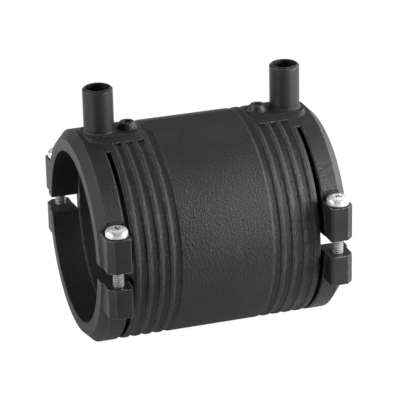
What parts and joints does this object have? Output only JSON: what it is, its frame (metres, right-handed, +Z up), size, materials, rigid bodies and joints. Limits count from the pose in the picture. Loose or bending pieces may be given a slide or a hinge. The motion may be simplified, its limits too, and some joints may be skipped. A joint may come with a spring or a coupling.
{
  "type": "straight pipe coupler",
  "caption": "Straight electrofusion sleeve for plastic pressure pipe, with upright shrouded terminals and split clamp collars drawn together by screws.",
  "frame": {"origin": "on the bore's axis, midway between the two ends", "axes": "+X along the bore, +Z up through the terminals, +Y away from the picture's front; it is alike left and right, and front and back"},
  "size_m": [0.0926, 0.089, 0.0954],
  "materials": {
    "black_polyethylene": "moulded, spark-eroded grain",
    "indicator_plastic": "moulded, smooth",
    "plated_steel": "bright zinc plate",
    "brass": "turned, dull",
    "resistance_wire": "drawn wire"
  },
  "bodies": {
    "root": {"coupler_body": "black_polyethylene", "heating_wire": "resistance_wire", "terminal_pin_left": "brass", "fusion_indicator_left": "indicator_plastic", "clamp_screw_left_front": "plated_steel", "clamp_screw_left_back": "plated_steel", "terminal_pin_right": "brass", "fusion_indicator_right": "indicator_plastic", "clamp_screw_right_front": "plated_steel", "clamp_screw_right_back": "plated_steel"}
  },
  "joints": []
}
